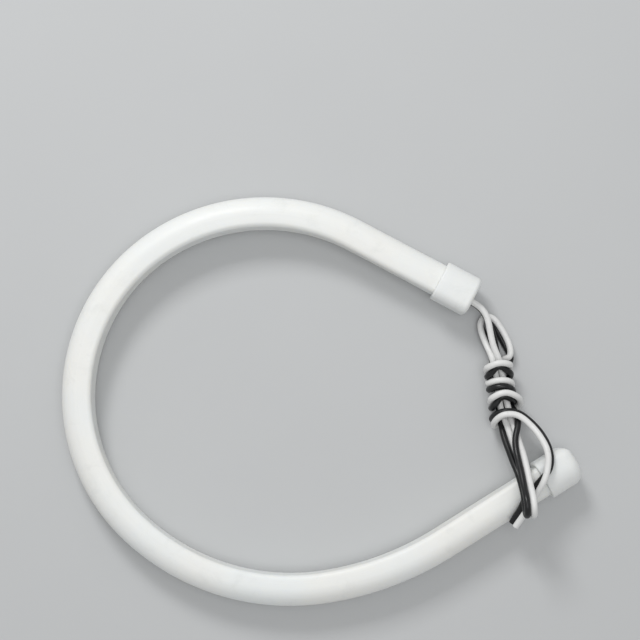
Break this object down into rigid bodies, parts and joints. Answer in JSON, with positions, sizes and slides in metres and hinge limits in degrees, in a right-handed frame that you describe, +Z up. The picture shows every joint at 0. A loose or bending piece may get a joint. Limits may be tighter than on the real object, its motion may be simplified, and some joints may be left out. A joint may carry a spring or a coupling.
{
  "type": "led strip light",
  "caption": "Flexible milky silicone LED strip light bent into a C, with a moulded cap on each end and a twin-wire lead tied in a small hank.",
  "frame": {"origin": "centre of the light's own bounding box, on the surface that its caps lie on; the free lead isn't counted", "axes": "+Z up from the surface, +X towards the open side of the C, +Y towards the end with the lead"},
  "size_m": [0.1459, 0.1149, 0.0221],
  "materials": {
    "milky_silicone": "milky translucent silicone with a soft satin skin",
    "cap_silicone": "moulded translucent white silicone, slightly glossier than the tube",
    "sealant": "cured clear-white silicone sealant",
    "circuit_board": "white solder-resist film on flexible board",
    "led_package": "white package with a yellow phosphor window",
    "resistor_body": "black glazed chip",
    "black_insulation": "smooth black PVC with a soft sheen",
    "white_insulation": "smooth white PVC with a soft sheen",
    "copper": "tinned and bare stranded copper",
    "solder": "bright soldered mound"
  },
  "bodies": {
    "root": {"diffuser_tube": "milky_silicone", "lead_cap": "cap_silicone", "closed_cap": "cap_silicone", "lead_sealant": "sealant", "closed_sealant": "sealant", "circuit_strip": "circuit_board", "black_inner_wire": "black_insulation", "white_inner_wire": "white_insulation", "black_core": "copper", "white_core": "copper", "black_solder": "solder", "white_solder": "solder", "lead_hank": "black_insulation", "led_01": "led_package", "led_02": "led_package", "led_03": "led_package", "led_04": "led_package", "led_05": "led_package", "led_06": "led_package", "led_07": "led_package", "led_08": "led_package", "led_09": "led_package", "led_10": "led_package", "led_11": "led_package", "led_12": "led_package", "led_13": "led_package", "led_14": "led_package", "led_15": "led_package", "led_16": "led_package", "led_17": "led_package", "led_18": "led_package", "resistor_01": "resistor_body", "resistor_02": "resistor_body", "resistor_03": "resistor_body", "resistor_04": "resistor_body", "resistor_05": "resistor_body", "resistor_06": "resistor_body", "black_exit": "black_insulation", "white_exit": "white_insulation", "black_legs": "black_insulation", "white_legs": "white_insulation", "black_tail": "black_insulation", "white_tail": "white_insulation"}
  },
  "joints": []
}
